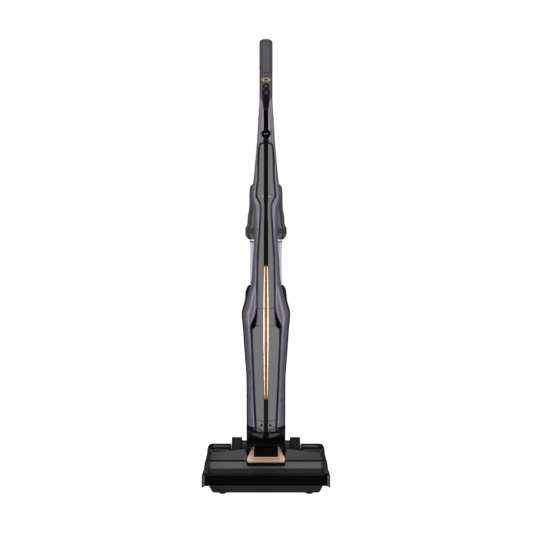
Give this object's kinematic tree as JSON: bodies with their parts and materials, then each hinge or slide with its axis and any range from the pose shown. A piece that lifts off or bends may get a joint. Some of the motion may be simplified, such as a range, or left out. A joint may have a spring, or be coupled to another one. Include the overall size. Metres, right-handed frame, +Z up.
{
  "type": "cordless stick vacuum",
  "caption": "Tall slim cordless wet-and-dry stick vacuum: wide roller head, reclining swivel neck, front dirty-water tank, rear clear tank and straight handle.",
  "frame": {"origin": "on the floor, under the middle of the bounding box", "axes": "+Z up along the handle, -Y the front face, +X to the right seen from the front"},
  "size_m": [0.305, 0.256, 1.1],
  "materials": {
    "mauve_shell": "satin metallic paint",
    "black_gloss": "high gloss",
    "black_matte": "fine moulded texture",
    "smoke_clear": "smoked transparent",
    "clear_tank": "clear transparent",
    "rose_gold": "polished",
    "rubber": "matte",
    "steel": "turned",
    "motor_alloy": "machined",
    "fibre": "short pile",
    "white_plastic": "satin",
    "circuit_board": "solder mask"
  },
  "bodies": {
    "head": {"head_chassis": "black_matte", "head_top_cover": "black_gloss", "neck_trim": "rose_gold", "front_bumper": "black_gloss", "squeegee": "rubber", "suction_duct": "black_matte", "roller_motor": "motor_alloy", "rear_axle": "steel", "side_cap_left": "rubber", "side_cap_right": "rubber", "wheel_arm_left": "black_matte", "wheel_arm_right": "black_matte", "glide_foot_left": "rubber", "glide_foot_right": "rubber"},
    "roller_cover": {"roller_cover": "black_gloss"},
    "wheel_left": {"tyre_left": "rubber", "wheel_hub_left": "black_matte"},
    "wheel_right": {"tyre_right": "rubber", "wheel_hub_right": "black_matte"},
    "brush_roller": {"roller_core": "black_matte", "roller_sleeve": "fibre"},
    "neck": {"neck_shell": "black_matte", "neck_front_cover": "black_gloss", "neck_hose": "rubber"},
    "upright": {"side_shell_left": "mauve_shell", "side_shell_right": "mauve_shell", "spine_core": "black_matte", "lower_housing": "black_matte", "front_panel": "black_gloss", "light_strip_upper": "rose_gold", "indicator_left": "white_plastic", "indicator_right": "white_plastic", "control_board": "circuit_board", "swivel_ring": "steel", "suction_pipe": "black_matte", "water_pump": "black_matte", "motor_mount": "rubber", "suction_motor": "motor_alloy", "motor_filter": "fibre", "battery_housing": "smoke_clear", "battery_pack": "black_matte", "handle_tube": "mauve_shell", "handle_cap": "mauve_shell", "control_bezel": "black_gloss", "accent_bar": "rose_gold"},
    "impeller": {"impeller": "motor_alloy"},
    "dirty_tank": {"dirty_tank": "smoke_clear", "dirty_tank_lid": "black_matte", "dirty_tank_filter": "fibre", "intake_pipe": "smoke_clear", "light_strip_lower": "rose_gold"},
    "float_valve": {"float_valve": "white_plastic"},
    "clean_tank": {"clean_tank": "clear_tank", "clean_tank_cap": "black_matte", "clean_tank_valve": "black_matte"},
    "clean_tank_latch": {"clean_tank_latch": "black_matte"},
    "power_button": {"power_button": "black_matte"},
    "mode_button": {"mode_button": "black_gloss"},
    "self_clean_button": {"self_clean_button": "black_gloss"},
    "release_button": {"release_button": "black_gloss"}
  },
  "joints": [
    {"name": "neck_recline", "type": "hinge", "parent": "head", "child": "neck", "pos_m": [0, 0.08, 0.048], "axis": [-1, 0, 0], "range_deg": [0, 70]},
    {"name": "upright_swivel", "type": "hinge", "parent": "neck", "child": "upright", "pos_m": [0, 0.035, 0.14], "axis": [0, -0.2419, 0.9703], "range_deg": [-40, 40]},
    {"name": "wheel_left_spin", "type": "hinge", "parent": "head", "child": "wheel_left", "pos_m": [0, 0.08, 0.048], "axis": [1, 0, 0], "continuous": true},
    {"name": "wheel_right_spin", "type": "hinge", "parent": "head", "child": "wheel_right", "pos_m": [0, 0.08, 0.048], "axis": [1, 0, 0], "continuous": true},
    {"name": "roller_spin", "type": "hinge", "parent": "head", "child": "brush_roller", "pos_m": [0, -0.088, 0.0255], "axis": [1, 0, 0], "continuous": true},
    {"name": "roller_cover_lift", "type": "slide", "parent": "head", "child": "roller_cover", "axis": [0, 0, 1], "range_m": [0, 0.06]},
    {"name": "impeller_spin", "type": "hinge", "parent": "upright", "child": "impeller", "pos_m": [0, 0.06, 0.44], "axis": [0, 0, 1], "continuous": true},
    {"name": "dirty_tank_slide", "type": "slide", "parent": "upright", "child": "dirty_tank", "axis": [0, -1, 0], "range_m": [0, 0.12]},
    {"name": "float_lift", "type": "slide", "parent": "dirty_tank", "child": "float_valve", "axis": [0, 0, 1], "range_m": [0, 0.008]},
    {"name": "clean_tank_slide", "type": "slide", "parent": "upright", "child": "clean_tank", "axis": [0, 1, 0], "range_m": [0, 0.1]},
    {"name": "clean_tank_latch_press", "type": "slide", "parent": "clean_tank", "child": "clean_tank_latch", "axis": [0, 0, -1], "range_m": [0, 0.0015], "stiffness_N_per_m": 300},
    {"name": "power_button_press", "type": "slide", "parent": "upright", "child": "power_button", "axis": [0, 1, 0], "range_m": [0, 0.0015], "stiffness_N_per_m": 300},
    {"name": "mode_button_press", "type": "slide", "parent": "upright", "child": "mode_button", "axis": [0, 1, 0], "range_m": [0, 0.0015], "stiffness_N_per_m": 300},
    {"name": "self_clean_button_press", "type": "slide", "parent": "upright", "child": "self_clean_button", "axis": [0, 1, 0], "range_m": [0, 0.0015], "stiffness_N_per_m": 300},
    {"name": "release_button_press", "type": "slide", "parent": "upright", "child": "release_button", "axis": [0, 1, 0], "range_m": [0, 0.002], "stiffness_N_per_m": 300}
  ]
}
